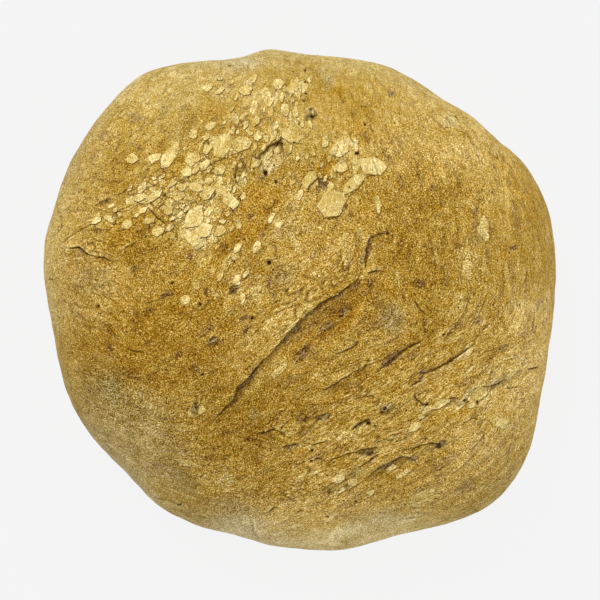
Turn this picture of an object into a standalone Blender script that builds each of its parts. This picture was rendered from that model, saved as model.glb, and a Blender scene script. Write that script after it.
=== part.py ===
"""Round country loaf, baked free-form on the oven floor: one solid of bread.

Metres, +Z up. The loaf stands on its flat sole, with the origin at the middle of the sole.
+Y is the loaf's far side and +X its right-hand side, as a person standing at its near side sees it.

The form is worked out in four steps: a ball, drawn out to a dome over a flat sole; the swells and
dents of its outline; the slow unevenness of hand-shaped dough; and the folds that opened or tucked
under as it rose. The mesh is finer beside the folds than elsewhere.
"""

import math

import bmesh
import bpy
from mathutils import Vector, noise

MM = 0.001

# Driving dimensions
EDGE_RADIUS = 124.0 * MM  # of the outline, before its swells
LOAF_HEIGHT = 103.0 * MM
WAIST_HEIGHT = 38.0 * MM  # where the outline is widest
SOLE_DROP = 45.0 * MM  # how deep the underside would round out if the oven floor didn't cut it
DOME_POWER = 2.25  # 2 is an ellipse, more is a fuller shoulder
UNDERSIDE_POWER = 2.6
UNEVENNESS = 1.6 * MM
UNEVENNESS_SPACING = 55.0 * MM
KNUCKLE_HEIGHT = 0.8 * MM  # smaller lumps over the larger ones
KNUCKLE_SPACING = 22.0 * MM

# The outline's swells and dents: bearing and half width in degrees from +X towards +Y, and height
SWELLS = (
    (125, 17, 10.8 * MM),
    (149, 22, 9.5 * MM),
    (172, 12, 1.8 * MM),
    (25, 17, 7.0 * MM),
    (5, 12, 2.0 * MM),
    (318, 18, 15.2 * MM),
    (346, 10, 1.2 * MM),
    (197, 16, 1.8 * MM),
    (98, 5, 2.0 * MM),
    (68, 8, 1.5 * MM),
    (281, 7, 2.0 * MM),
    (246, 5, 1.6 * MM),
    (40, 4, -0.9 * MM),
    (55, 4, -0.9 * MM),
    (88, 6, -1.2 * MM),
    (104, 5, -1.0 * MM),
    (184, 6, -1.2 * MM),
    (224, 9, -2.5 * MM),
    (253, 10, -4.2 * MM),
)
SWELL_FADES_FROM = 0.25  # share of the way out from the crown, where the swells begin
SWELL_FULL_AT = 0.95

# Folds in the top: places in mm from the origin, then how far one side stands over the other
# (the side on the left of the fold's own direction is the higher), how wide the low side dips,
# and how far the lip swells up.
FOLDS = {
    "long_fold": dict(
        route=(
            ((-42, -57), (-32, -46), (-21, -34), (-12, -23), (-4, -16))
            + ((3, -8), (8, -4), (20, 2), (27, 7), (32, 14))
        ),
        drop=2.4 * MM,
        dip=9.0 * MM,
        lip=0.9 * MM,
    ),
    "upper_tuck": dict(
        route=((33, 16), (37, 24), (43, 33)),
        drop=1.0 * MM,
        dip=5.0 * MM,
        lip=0.3 * MM,
    ),
    "near_fold": dict(
        route=((10, -46), (22, -39), (31, -34), (35, -29)),
        drop=1.2 * MM,
        dip=5.0 * MM,
        lip=0.3 * MM,
    ),
    "middle_tuck": dict(
        route=((40, -34), (45, -28), (52, -23), (61, -18)),
        drop=1.2 * MM,
        dip=5.0 * MM,
        lip=0.3 * MM,
    ),
    "right_fold": dict(
        route=((54, -46), (62, -38), (68, -34), (76, -28), (84, -24)),
        drop=1.4 * MM,
        dip=6.0 * MM,
        lip=0.4 * MM,
    ),
    "shoulder_tuck": dict(
        route=((66, -53), (76, -49), (85, -44), (95, -41), (106, -36), (117, -32)),
        drop=1.6 * MM,
        dip=6.0 * MM,
        lip=0.4 * MM,
    ),
    "corner_fold": dict(
        route=((30, -89), (42, -80), (52, -77), (62, -72), (74, -66)),
        drop=1.4 * MM,
        dip=6.0 * MM,
        lip=0.4 * MM,
    ),
    "left_fold": dict(
        route=((-90, 17), (-97, 20), (-105, 22), (-114, 25)),
        drop=1.2 * MM,
        dip=6.0 * MM,
        lip=0.4 * MM,
    ),
}
FOLD_FADE = 0.18  # share of a fold's length over which it fades at each end
FOLD_SLOPE = 0.32  # share of a fold's dip, each side of its line, over which the lip falls to the low side
FOLDS_ABOVE = 30.0 * MM  # folds are in the top only

# The mesh
BALL_SUBDIVISIONS = 5
FINER_WITHIN = (9.0 * MM, 5.0 * MM)  # of a fold, where the faces are halved once and then again

CRUST_COLOUR = (0.47, 0.28, 0.075, 1.0)
CRUST_ROUGHNESS = 0.85


def smooth_step(low, high, value):
    """0 below low, 1 above high, and a smooth rise between."""
    share = min(max((value - low) / (high - low), 0.0), 1.0)
    return share * share * (3.0 - 2.0 * share)


def clear_scene():
    for thing in list(bpy.data.objects):
        bpy.data.objects.remove(thing, do_unlink=True)


def make_collection(name):
    collection = bpy.data.collections.new(name)
    bpy.context.scene.collection.children.link(collection)
    return collection


def make_crust_material():
    material = bpy.data.materials.new("crust")
    material.use_nodes = True
    shader = material.node_tree.nodes["Principled BSDF"]
    shader.inputs["Base Color"].default_value = CRUST_COLOUR
    shader.inputs["Roughness"].default_value = CRUST_ROUGHNESS
    shader.inputs["Metallic"].default_value = 0.0
    return material


def swell_at(bearing):
    """How far the outline stands out past EDGE_RADIUS at a bearing in degrees."""
    total = 0.0
    for centre, half_width, height in SWELLS:
        away = (bearing - centre + 180.0) % 360.0 - 180.0
        total += height * math.exp(-((away / half_width) ** 2))
    return total


def dome_point(direction):
    """The point of the loaf's plain dome, sole and swollen outline in a direction from its waist."""
    level = math.hypot(direction.x, direction.y)
    rise = abs(direction.z)
    upper = direction.z >= 0.0
    power = DOME_POWER if upper else UNDERSIDE_POWER
    height = LOAF_HEIGHT - WAIST_HEIGHT if upper else SOLE_DROP
    reach = (level**power + rise**power) ** (-1.0 / power)
    out = level * reach
    bearing = math.degrees(math.atan2(direction.y, direction.x))
    swell = swell_at(bearing) * smooth_step(SWELL_FADES_FROM, SWELL_FULL_AT, out)
    radius = (EDGE_RADIUS + swell) * out
    z = WAIST_HEIGHT + math.copysign(height * rise * reach, direction.z)
    around = Vector((direction.x, direction.y)) * (radius / max(level, 1e-9))
    return Vector((around.x, around.y, z))


def unevenness_at(point):
    """Slow lumps of hand-shaped dough, with smaller ones over them."""
    slow = noise.noise(point / UNEVENNESS_SPACING)
    knuckles = noise.noise(point / KNUCKLE_SPACING + Vector((7.0, 3.0, 1.0)))
    return UNEVENNESS * slow + KNUCKLE_HEIGHT * knuckles


def beside(route, x, y):
    """Where a point lies by a route in mm: the share of the route's length passed, and the distance
    from it in metres, positive on the route's left."""
    nearest = None
    passed = 0.0
    for (ax, ay), (bx, by) in zip(route, route[1:]):
        ax, ay, bx, by = ax * MM, ay * MM, bx * MM, by * MM
        dx, dy = bx - ax, by - ay
        length = math.hypot(dx, dy)
        along = min(max(((x - ax) * dx + (y - ay) * dy) / length**2, 0.0), 1.0)
        gap = math.hypot(x - ax - along * dx, y - ay - along * dy)
        if nearest is None or gap < abs(nearest[1]):
            side = math.copysign(1.0, dx * (y - ay) - dy * (x - ax))
            nearest = (passed + along * length, side * gap)
        passed += length
    return nearest[0] / passed, nearest[1]


def fold_height(fold, x, y):
    """How far a fold raises its lip, above 0, or sinks the side that tucks under, below 0."""
    share, gap = beside(fold["route"], x, y)
    fade = smooth_step(0.0, FOLD_FADE, share) * smooth_step(0.0, FOLD_FADE, 1.0 - share)
    reach = math.exp(-((gap / fold["dip"]) ** 2))
    side = smooth_step(-FOLD_SLOPE, FOLD_SLOPE, gap / fold["dip"])
    return fade * reach * (side * fold["lip"] - (1.0 - side) * fold["drop"])


def loaf_point(direction):
    """A point of the finished surface: the dome, pushed out or in by the lumps and folds."""
    plain = dome_point(direction)
    outward = Vector((direction.x, direction.y, direction.z * EDGE_RADIUS / LOAF_HEIGHT)).normalized()
    point = plain + outward * unevenness_at(plain)
    if point.z > FOLDS_ABOVE:
        point += outward * sum(fold_height(fold, plain.x, plain.y) for fold in FOLDS.values())
    point.z = max(point.z, 0.0)
    return point


def gap_to_folds(point):
    return min(abs(beside(fold["route"], point.x, point.y)[1]) for fold in FOLDS.values())


def make_ball_finer(ball, within):
    """Halves the faces of the ball that will lie this near a fold."""
    near = []
    for edge in ball.edges:
        middle = dome_point(((edge.verts[0].co + edge.verts[1].co) / 2.0).normalized())
        if middle.z > FOLDS_ABOVE and gap_to_folds(middle) < within:
            near.append(edge)
    bmesh.ops.subdivide_edges(ball, edges=near, cuts=1, use_grid_fill=True)
    bmesh.ops.triangulate(ball, faces=ball.faces)


def make_loaf(collection):
    ball = bmesh.new()
    bmesh.ops.create_icosphere(ball, subdivisions=BALL_SUBDIVISIONS, radius=1.0)
    for within in FINER_WITHIN:
        make_ball_finer(ball, within)
    for vertex in ball.verts:
        vertex.co = loaf_point(vertex.co.normalized())
    stand_on_origin(ball)
    mesh = bpy.data.meshes.new("loaf")
    ball.to_mesh(mesh)
    ball.free()
    mesh.shade_smooth()
    mesh.materials.append(make_crust_material())
    loaf = bpy.data.objects.new("loaf", mesh)
    collection.objects.link(loaf)
    return loaf


def stand_on_origin(ball):
    """Moves the loaf level, so that the middle of its width and depth is over the origin."""
    for axis in (0, 1):
        places = [vertex.co[axis] for vertex in ball.verts]
        middle = (min(places) + max(places)) / 2.0
        for vertex in ball.verts:
            vertex.co[axis] -= middle


clear_scene()
make_loaf(make_collection("country_loaf"))
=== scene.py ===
"""Round country loaf, seen from straight above: its crust, finished round the solid loaf.

The solid gives the loaf's true form. Over it come a finer crust with the folds, cracks, blisters and
pinholes of the baked dough, and the dry flakes that stand up from it. Places on the crust are given in
mm as the eye above sees them, at the height of the waist: +u to the right, +v to the far side.
"""

import math

import bpy
import numpy as np
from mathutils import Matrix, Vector, noise
from mathutils.bvhtree import BVHTree


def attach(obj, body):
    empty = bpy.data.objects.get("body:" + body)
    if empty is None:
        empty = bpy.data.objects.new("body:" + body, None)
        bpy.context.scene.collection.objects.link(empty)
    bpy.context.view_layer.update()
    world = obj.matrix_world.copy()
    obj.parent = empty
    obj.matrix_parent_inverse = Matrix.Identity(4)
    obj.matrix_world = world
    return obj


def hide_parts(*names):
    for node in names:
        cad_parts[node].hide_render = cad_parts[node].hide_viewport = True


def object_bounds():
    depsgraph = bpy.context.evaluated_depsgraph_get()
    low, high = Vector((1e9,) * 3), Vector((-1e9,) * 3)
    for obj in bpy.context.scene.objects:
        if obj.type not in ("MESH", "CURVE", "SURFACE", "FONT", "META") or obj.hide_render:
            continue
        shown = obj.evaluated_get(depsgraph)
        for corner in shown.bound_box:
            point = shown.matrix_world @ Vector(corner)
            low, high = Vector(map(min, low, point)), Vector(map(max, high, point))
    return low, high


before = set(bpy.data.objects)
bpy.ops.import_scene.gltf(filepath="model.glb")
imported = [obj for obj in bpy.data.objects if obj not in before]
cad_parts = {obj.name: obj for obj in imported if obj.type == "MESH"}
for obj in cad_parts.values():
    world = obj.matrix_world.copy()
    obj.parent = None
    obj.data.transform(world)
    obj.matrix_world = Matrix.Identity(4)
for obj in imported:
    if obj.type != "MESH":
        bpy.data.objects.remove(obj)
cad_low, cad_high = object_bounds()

MM = 0.001
LOAF = "loaf"
TOP = cad_high.z
WAIST = 0.38 * TOP  # the height where the outline is widest

# The eye above, at the photograph's viewing angle
EYE_HEIGHT = 2.04
SENSOR = 36.0
VIEW_WIDTH = 0.300  # how much of the waist's level is in the view
FAR_CLIP = 60.0

# How long the crust's edges are, in mm: beside torn places, on the plain top, flanks and sole
FINE_EDGE = 0.85
TOP_EDGE = 2.1
FLANK_EDGE = 3.2
SOLE_EDGE = 9.0
FINE_WITHIN = 0.75  # mm from a torn place
EDGE_GROWTH = 0.58  # mm longer for each mm farther from it
STAIN_COARSER = 1.6  # a brown mark needs edges only as short as this many mm from a torn place
GRID_REACH = 150
TRIANGLE_LIMIT = 200_000
WELD_REACH = 1e-5  # metres within which the solid's corners are one
SOLE_CALM = 0.85  # how much of the relief is missing on the sole

rng = np.random.default_rng(11)


# ---------------------------------------------------------------- the bread's own places
# How the dough was drawn out when it was shaped: places, and the bearing of its lines there in degrees
FLOW = (
    (-121, 36, 50), (-95, 40, 36), (-70, 45, 32), (-50, 62, 38), (-60, 80, 35), (-30, 60, 60),
    (-20, 45, 60), (-90, 15, -15), (-105, -20, -50), (-90, -60, -50), (-60, -95, -35),
    (-60, -30, 40), (-30, 0, 65), (-35, -20, 50), (-20, -30, 48), (0, -10, 42), (10, 10, 42),
    (20, 20, 50), (35, 25, 65), (60, 40, 92), (62, 10, 95), (80, -28, 32), (100, -30, 25),
    (115, -35, 22), (60, -45, 28), (40, -60, 22), (20, -75, 18), (0, -85, 15), (30, -90, 25),
    (60, -75, 22), (-20, -80, 30), (-10, -60, 30), (100, 30, 100), (115, 40, 110), (95, 70, 125),
    (120, 0, 90), (75, 95, 150), (0, 110, 92), (2, 95, 92), (30, 90, 100), (-20, 100, 70),
    (-50, 110, 30), (-80, 95, 45), (90, -80, 40), (60, -105, 15), (100, -65, 50), (0, -118, 0),
    (-35, -115, -15),
)
FLOW_CELL = 15.0  # mm between the smooth bells that the whole flow is added up from
FLOW_SPREAD = 18.0  # and how wide those bells are
FLOW_STEP = 7.5  # mm between the places where the bells are fitted to the lines
FLOW_NEAR = 8.0  # mm round each place of FLOW where its bearing rules

# Folds: the route (the higher lip is on its left), how far the low side drops, how wide it dips, how
# far the lip swells, and how wide the gap is at even steps along the route, all in mm.
FOLDS = {
    "long_fold": (
        ((-47.7, -62.8), (-42.3, -59.3), (-37.4, -53.6), (-33.4, -50.1), (-31.6, -43.8), (-26.5, -40))
        + ((-21.3, -33.1), (-14.4, -26.2), (-7.5, -18.7), (-4.1, -14.7), (1.7, -8.4), (9.7, -2.6))
        + ((13.1, 0.2), (18.9, 2.5), (26.3, 8.8), (33.2, 15.1)),
        1.0, 5.0, 0.5, (0.5, 1.3, 2.0, 1.5, 0.9, 0.4, 1.6, 1.5, 1.3, 1.3, 0.7, 1.2),
    ),
    "upper_branch": (((33.2, 14), (36.3, 14.3), (40, 15.2), (42, 16.3)), 0.5, 2.4, 0.3, (0.9, 0.2)),
    "upper_tuck": (
        ((32.8, 14.5), (32.4, 20), (33.8, 29.5), (35.5, 31.8), (40, 33.5), (43.5, 34.3)),
        0.8, 2.6, 0.3, (1.0, 0.5, 1.6, 1.0, 1.4),
    ),
    "under_fold": (((-2, -28), (5, -20), (14, -14), (22, -9), (27, -4)), 0.9, 4.0, 0.2, 0.05),
    "under_crack": (((18.8, -26.8), (25.4, -23.8), (29.5, -19.7)), 0.3, 2.0, 0.2, (0.4, 0.9, 0.7)),
    "near_fold": (
        ((10.3, -46.1), (16, -42.7), (22, -39.2), (26.9, -36.1), (31.5, -34.6), (34.4, -30.2)),
        0.8, 3.5, 0.4, (1.0, 1.3, 0.8, 0.6, 0.7, 1.2),
    ),
    "middle_tuck": (
        ((63, -19.9), (57.2, -22.7), (51.5, -26.2), (46.9, -30.2), (40, -35.4)),
        0.9, 2.8, 0.3, (0.3, 0.9, 1.6, 2.6, 0.9),
    ),
    "right_fold": (
        ((97.4, -11.8), (93.4, -13), (89.4, -18.1), (87.1, -22.2), (82.5, -26.2), (76.7, -30.2))
        + ((68.7, -34.8), (61.8, -37.7), (60.3, -41), (52.6, -45)),
        0.9, 3.0, 0.4, (0.5, 0.3, 0.2, 0.9, 1.0, 0.8, 1.4, 1.8, 0.8),
    ),
    "right_curl": (((58, -46.7), (58.2, -48.6), (61.4, -51.9), (64.9, -52.4)), 0.4, 1.8, 0.2, 0.8),
    "shoulder_tuck": (
        ((66, -54.7), (69.4, -52.4), (74, -49.6), (78.6, -48.4)), 0.6, 2.4, 0.4, (0.5, 0.9, 0.9),
    ),
    "shoulder_top": (
        ((85.5, -45.6), (90, -43.6), (95.9, -43.2), (98.7, -41.5), (105.6, -39.2)),
        0.5, 2.2, 0.3, (0.6, 0.5, 1.0, 1.0),
    ),
    "shoulder_end": (((113.5, -34.5), (119.5, -33.2)), 0.8, 2.4, 0.3, 0.8),
    "pale_pocket": (((25.8, -64.5), (30.4, -61.6), (35.5, -59.3)), 0.9, 2.4, 0.3, (0.8, 1.0, 0.7)),
    "thin_line": (((0, -71.4), (7.4, -72), (14.9, -70.2)), 0.2, 1.5, 0.1, 0.45),
    "corner_fold": (
        ((33.2, -90.3), (36, -87), (40.7, -83.4), (46.5, -80), (52.2, -78.3), (58, -80), (58, -83.4)),
        0.9, 3.5, 0.4, (0.9, 0.6, 1.5, 1.6, 0.8, 0.5),
    ),
    "low_fold": (((50, -75), (57, -74), (66, -71.4), (71.7, -72.5)), 0.7, 3.0, 0.4, (0.4, 0.6, 1.2)),
    "low_tuck": (
        ((13, -81), (17.7, -78.8), (28, -75.7), (34, -74), (41, -73.4)),
        0.7, 3.0, 0.3, (0.3, 0.7, 0.6, 1.0, 0.9),
    ),
    "low_tuck_end": (((28.6, -84.6), (32, -81.5), (39.5, -77)), 0.4, 2.4, 0.2, (0.4, 0.6, 1.0)),
    "near_crease": (
        ((-22.4, -66.8), (-17.3, -66.2), (-13.3, -64.5), (-8.7, -66.2), (-6.5, -67.8)),
        0.6, 2.5, 0.3, (0.6, 1.0, 0.8, 0.4, 1.0),
    ),
    "near_pocket": (((-9.5, -74), (-6, -72.6), (-1.5, -71.8)), 0.6, 2.2, 0.2, 0.7),
    "far_right_gash": (((57.5, 0), (59.5, -3.5), (62.5, -6.5)), 0.5, 2.2, 0.2, 0.8),
    "left_fold": (
        ((-117.4, 25.2), (-110.5, 26.6), (-107, 23.8), (-102.4, 22), (-97.9, 21.5))
        + ((-94.4, 19.7), (-92.7, 17.4)),
        0.7, 3.2, 0.4, (0.3, 0.5, 1.0, 0.7, 0.9, 0.6, 0.5),
    ),
    "left_tuck": (((-92.1, 23.2), (-86.4, 27.2), (-80.6, 29.8)), 0.4, 2.4, 0.2, (0.3, 0.7, 0.5)),
    "flaky_edge": (
        ((-60.5, 29), (-61.7, 31.2), (-65.1, 35.8), (-68, 38.7), (-72.6, 41.6), (-77, 48)),
        0.5, 2.2, 0.4, (0.3, 0.5, 0.4, 0.6, 0.3),
    ),
    "flaky_seam": (
        ((-63.4, 59.2), (-57.1, 60.9), (-50.8, 64.4), (-42.2, 69.5), (-38.5, 70.7), (-34.5, 73)),
        0.6, 2.0, 0.3, (0.4, 0.5, 0.3, 0.5, 0.6, 0.5),
    ),
    "sole_crease": (((-25.9, -108), (-23.6, -111.6), (-23, -116.7), (-19.6, -119)), 0.6, 2.4, 0.3, 0.4),
    "foot_fold": (
        ((-20.2, -107), (-15.6, -105.8), (-13.3, -104), (-10.4, -103.8)), 0.7, 2.4, 0.3, (0.5, 0.9, 0.4),
    ),
}

# Narrow cracks: the route, width and depth in mm
CRACKS = (
    (((29.5, 97), (34, 96.5), (38.5, 98.5)), 0.45, 0.7), (((-1, 87.5), (1, 89.7)), 0.5, 0.8),
    (((71.8, 86), (75.8, 86.6)), 0.5, 0.8), (((72, 90), (75.5, 92.7), (79.8, 90.7)), 0.35, 0.5),
    (((43.3, 76.6), (42.6, 73.3), (45.2, 74), (48.6, 73)), 0.4, 0.7),
    (((30.3, 61.2), (36, 62.4), (43, 64.7)), 0.5, 0.8), (((3.4, 53.5), (5, 57.3), (9.8, 62.2)), 0.5, 0.8),
    (((-13, 76), (-11, 78.5), (-8, 81)), 0.6, 1.0),
    (((-85.4, -24.8), (-82.4, -26.1), (-78, -25.8)), 0.5, 0.7),
    (((-120.5, 28), (-108, 36.2), (-97, 42)), 0.35, 0.5), (((-121.6, 33.3), (-119, 37.6)), 0.6, 0.8),
    (((-103.5, 47), (-100.2, 48.9), (-95.6, 50.6)), 0.8, 0.9),
    (((-93.5, 51.6), (-89, 53.8), (-85.2, 55.8)), 0.5, 0.6),
    (((-85.2, 62), (-78.3, 63.8), (-74.9, 66.7)), 0.4, 0.5), (((-70.3, 67.3), (-66.9, 63.1)), 0.5, 0.6),
    (((-19, 76.4), (-21.3, 70.7), (-23, 65.5), (-23.6, 60.9)), 0.35, 0.5),
    (((-31.2, 67), (-32.5, 61.3), (-31.6, 57.8), (-30.1, 56.2)), 0.5, 0.7),
    (((24.4, 51.1), (27.4, 54), (30.2, 57.4), (32.9, 60.2)), 0.5, 0.8),
    (((17.7, 64.6), (20.5, 62.8), (22.8, 64.2), (24.9, 67.3)), 0.45, 0.7),
    (((24, 60.9), (29.6, 62.2), (31.3, 61.4)), 0.4, 0.6),
    (((17.5, 68.4), (19.8, 69.8), (25.2, 72.2)), 0.5, 0.8), (((22.9, 74.2), (25.2, 77.4)), 0.4, 0.5),
    (((24.1, 48.3), (22.7, 45.6), (18.9, 42), (14.9, 40.6), (10.5, 42.6)), 0.55, 0.8),
    (((-98, -12.8), (-92, -11.8), (-86.4, -11.3)), 0.4, 0.5),
    (((-78.3, 6.5), (-79.8, 1), (-80.3, -6), (-83.5, -11)), 0.3, 0.4),
    (((-79, -2.6), (-76, -1), (-71, 0), (-69, 0.8)), 0.35, 0.5),
    (((-76.5, -37.5), (-74, -37), (-71, -36.3)), 0.4, 0.5),
    (((-53.7, -6.7), (-55.9, -12.4), (-60.5, -17)), 0.4, 0.5),
    (((-114.5, -34.8), (-107.6, -37), (-102.5, -38.2)), 0.4, 0.5),
    (((-13, 28.5), (-11.7, 25.3), (-12.8, 20.7)), 0.4, 0.6),
    (((-7.2, 3.5), (-4.9, 7), (-3.9, 6.2)), 0.4, 0.5), (((-14.6, -2.2), (-11, -0.3)), 0.4, 0.5),
    (((-42, -12.5), (-37.5, -8.5), (-33.4, -4.4)), 0.35, 0.4), (((-23.8, -18.6), (-20.1, -13)), 0.35, 0.5),
    (((70.4, 18.6), (72, 15.2), (72.4, 10.5), (73, 6)), 0.4, 0.5),
    (((67.4, -4.5), (70.6, -5.5), (76.5, -6.1)), 0.4, 0.5),
    (((91, -27), (94, -25.6), (100, -23.8), (106, -21.6)), 0.35, 0.5), (((59.5, -37), (63, -36.2)), 0.6, 0.8),
    (((81, -62.6), (86.7, -59.3), (90.1, -57)), 0.4, 0.5), (((103.5, -44.4), (109.6, -43.4)), 0.5, 0.6),
    (((6.6, -79.6), (10, -79.2), (13.5, -80.8)), 0.45, 0.6),
    (((40.8, -62.1), (43.6, -60.5), (46.8, -59.5)), 0.4, 0.5), (((72.3, -69.1), (75.2, -67.9)), 0.4, 0.5),
    (((-52.4, -71.5), (-50.6, -67.2), (-46.8, -62.4), (-42.3, -59.3)), 0.35, 0.5),
    (((-95.6, -57.6), (-92.5, -58.9), (-88.7, -63.3)), 0.4, 0.5), (((-79, -46), (-79.6, -52)), 0.4, 0.5),
    (((-50.2, -89.7), (-48.5, -87.4), (-45.6, -86.3)), 0.4, 0.4),
    (((-61.9, -103), (-58.8, -101.8)), 0.6, 0.6), (((-125.9, 10.6), (-124, 9.4)), 0.8, 1.2),
)

# Thin raised edges, painted pale along their crest: the route, width and height in mm
RIDGES = (
    (((-108, 28), (-104, 25.3), (-97, 24), (-91, 21)), 0.5, 0.3),
    (((-81.5, 12.9), (-80.2, 5.5), (-79.2, 0.2), (-80.3, -4.4)), 0.4, 0.3),
    (((-69.2, -34.8), (-65.7, -31.9), (-61.7, -29.1)), 0.4, 0.3),
    (((-54.5, -9), (-52, -5.5), (-48.5, -3)), 0.5, 0.3),
    (((-119.5, -10), (-117.5, -12.5), (-115, -14.3)), 0.4, 0.3),
    (((-110, -9), (-108, -13.6), (-105.5, -18.5), (-101.5, -22), (-97, -26.5)), 0.4, 0.3),
    (((-93, 44.5), (-84, 49), (-75, 53)), 0.5, 0.3), (((-95.6, 37.5), (-84, 42.1), (-76.6, 44.4)), 0.6, 0.3),
    (((-30.5, 25), (-29, 29), (-27.5, 32)), 0.5, 0.3), (((-22, 24), (-19, 27.8), (-15.6, 30.8)), 0.4, 0.3),
    (((-22, 52.5), (-16, 56.5), (-13.3, 58.2), (-11.5, 61)), 0.5, 0.4),
    (((-24.9, 59.5), (-24.3, 65), (-22.6, 71)), 0.5, 0.4), (((-14, 81), (-11, 83.2), (-8.5, 82)), 0.5, 0.4),
    (((-11, 30.5), (-8.5, 35), (-7.2, 38)), 0.5, 0.3), (((-40, 11), (-39.5, 4.8), (-37.5, -1)), 0.5, 0.3),
    (((68.1, 45), (68.7, 37), (68.1, 31)), 0.4, 0.2), (((68.1, 31), (67.6, 24), (69.3, 20.3)), 0.7, 0.4),
    (((55.5, 7.1), (58.9, 2.5), (64, -3.1)), 0.5, 0.3), (((67.6, 5.4), (70.4, 1.4), (71.6, -1.5)), 0.5, 0.3),
    (((2.8, -73), (6.6, -73.7)), 0.5, 0.3), (((-18, -112.5), (-14.4, -114.4), (-8.7, -115)), 0.5, 0.3),
    (((-93.3, -58.5), (-90, -62.5), (-88, -66.3)), 0.5, 0.3),
    (((-55.5, -68), (-52.6, -72), (-55.5, -74.8)), 0.5, 0.3),
    (((-52.6, -72), (-50.2, -74), (-46, -76)), 0.4, 0.3), (((-50.5, -45.5), (-49.8, -51.5)), 0.4, 0.3),
    (((62.8, -57), (69.4, -56.3), (76.3, -54.1), (80.8, -52)), 0.6, 0.3),
    (((95.3, -88), (101, -82.3), (104, -77.7)), 0.4, 0.2), (((100.5, 57), (103, 51), (105.5, 46)), 0.4, 0.2),
    (((16.8, -19.9), (20, -23.7)), 0.8, 0.2),
)

# Pinholes where gas came out: place, radius in mm
PINHOLES = (
    (-35, 117.5, 0.9), (32.5, 87.5, 0.7), (-18, 32.5, 0.8), (-28, 30, 0.7), (-45, 16, 0.6),
    (-64, 8.5, 0.9), (-50, -2.2, 1.0), (-101.2, -3.2, 1.0), (-49, -37.5, 1.0), (-24, -9, 1.0),
    (6, -75.5, 0.9), (5.5, -80.5, 0.9), (17, -81.5, 0.7), (34.2, -30.5, 1.1), (82.8, -50.5, 1.0),
    (89, -51.2, 1.1), (97, -2.5, 0.7), (110, -2.5, 0.6), (72, -17.5, 0.8), (104.9, 23.8, 0.7),
    (13.8, -108.8, 0.8), (28, -100.8, 0.8), (22, -100.5, 0.6), (64, -52, 0.8), (28.5, 73.5, 1.2),
    (-17.5, 64.2, 1.4), (-12, 59.5, 1.1), (34.8, -61.8, 1.3), (44, 33.5, 0.9), (-15.5, 19, 1.4),
    (2.5, 115, 0.8), (2.5, 109, 0.7), (3, 103.5, 0.9), (2, 100, 0.9), (5.5, 95.5, 0.8), (6, 92, 1.2),
)

# Blisters: place, half length, half width, bearing in degrees, height in mm and how grey
BLISTERS = (
    (-33, 6, 2.9, 2.3, 60, 0.4, 0.8),
    (-43.8, -20.3, 3.3, 2.1, 35, 0.35, 0.85),
    (-52.4, -53.2, 3.8, 2.0, 80, 0.35, 0.75),
    (43.2, -54.3, 4.4, 2.2, 32, 0.3, 0.75),
    (12, -58.6, 4.2, 1.6, 10, -0.4, 0.8),
    (30.8, -62, 4.4, 1.3, 30, -0.4, 0.4),
    (34.4, -76.5, 4.4, 1.7, 5, -0.5, 0.8),
    (-3.6, -73.3, 3.8, 1.2, 15, -0.3, 0.5),
    (70.6, -72.6, 2.8, 1.6, 35, -0.4, 0.8),
    (75.2, -51.3, 4.2, 1.4, 25, -0.3, 0.3),
    (-29.6, 62.5, 6.2, 3.0, 85, -0.6, 0.25),
    (5.2, 92.8, 3.2, 2.6, 60, 0.4, 0.5),
    (-15.6, 48.4, 3.2, 2.4, 30, 0.4, 0.0),
    (-83.3, 16.2, 1.8, 1.5, 40, 0.3, 0.6),
)
CRATER = (-14.5, 70, 9.5, 5.6, 60)  # the burst blister: place, half length, half width, bearing

# Broad lighter and darker areas: place, half length, half width, bearing in degrees, strength
LIGHTER = (
    (-66, -24, 52, 34, 10, -0.8), (-34, -62, 46, 24, 20, -0.85), (24, -6, 44, 22, 40, -0.4),
    (-75, 25, 24, 12, 45, -0.2), (10, -112, 60, 16, 5, 0.7), (62, -12, 14, 14, 0, -0.4),
    (92, -30, 16, 30, 0, 0.35), (78, -84, 24, 16, 40, 0.4), (-14.5, 70, 9, 6, 60, 1.0),
    (-38, 37, 13, 12, 0, -0.3), (-80, -75, 40, 16, -45, 0.3), (115, -35, 16, 50, 0, 0.3),
    (-60, -62, 14, 14, 0, -0.3), (12, -38, 34, 13, 10, -0.6), (-88, 24, 12, 18, 0, -0.5),
    (-10, -90, 40, 14, 5, -0.4), (-20, 24, 24, 20, 40, -0.5), (62, 30, 22, 40, 10, -0.5),
    (-92, 66, 10, 24, -40, -0.2), (12, 88, 20, 14, 0, 0.6), (60, 88, 40, 18, -30, 0.6),
    (95, 60, 18, 40, 30, 0.5), (115, -20, 16, 36, 0, 0.8), (95, -60, 30, 26, 0, 0.4),
    (-112, -10, 16, 40, 0, -0.5), (-95, -55, 22, 30, 40, -0.6), (-62, -92, 34, 14, -38, -0.6),
)
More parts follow.
